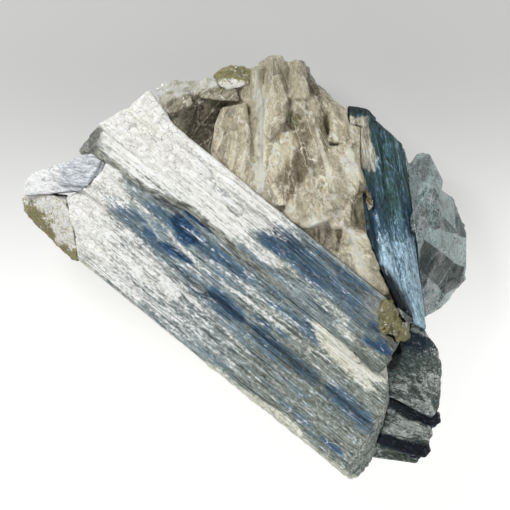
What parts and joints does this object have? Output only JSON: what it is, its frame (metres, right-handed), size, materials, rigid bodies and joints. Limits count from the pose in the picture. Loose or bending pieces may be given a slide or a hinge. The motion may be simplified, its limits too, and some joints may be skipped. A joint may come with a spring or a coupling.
{
  "type": "kyanite blade cluster",
  "caption": "Loose mineral specimen: flat blue kyanite blades grown through milky, smoky and clear quartz, with olive mica, resting on its broken back.",
  "frame": {"origin": "centre of the bounding box's underside, on the plane the specimen rests on", "axes": "+Z up, the way the broad blue faces look; +X to the right and +Y up those faces"},
  "size_m": [0.1006, 0.0962, 0.038],
  "materials": {
    "blue_kyanite": "pearly cleavage faces, silky along the blade",
    "grey_kyanite": "silky, dull where weathered",
    "milky_quartz": "glassy, cloudy, broken surfaces",
    "smoky_quartz": "glassy, broken surfaces",
    "clear_quartz": "clear, glassy",
    "olive_mica": "flaky, slightly glossy"
  },
  "bodies": {
    "root": {"front_blade": "blue_kyanite", "ledge_blade": "blue_kyanite", "left_end_blade": "blue_kyanite", "right_blade": "blue_kyanite", "dark_splinters": "blue_kyanite", "under_blade_upper": "grey_kyanite", "under_blade_lower": "grey_kyanite", "milky_quartz": "milky_quartz", "smoky_quartz": "smoky_quartz", "clear_quartz": "clear_quartz", "olive_mica_rim": "olive_mica", "mica_patch": "olive_mica", "mica_knob": "olive_mica"}
  },
  "joints": []
}
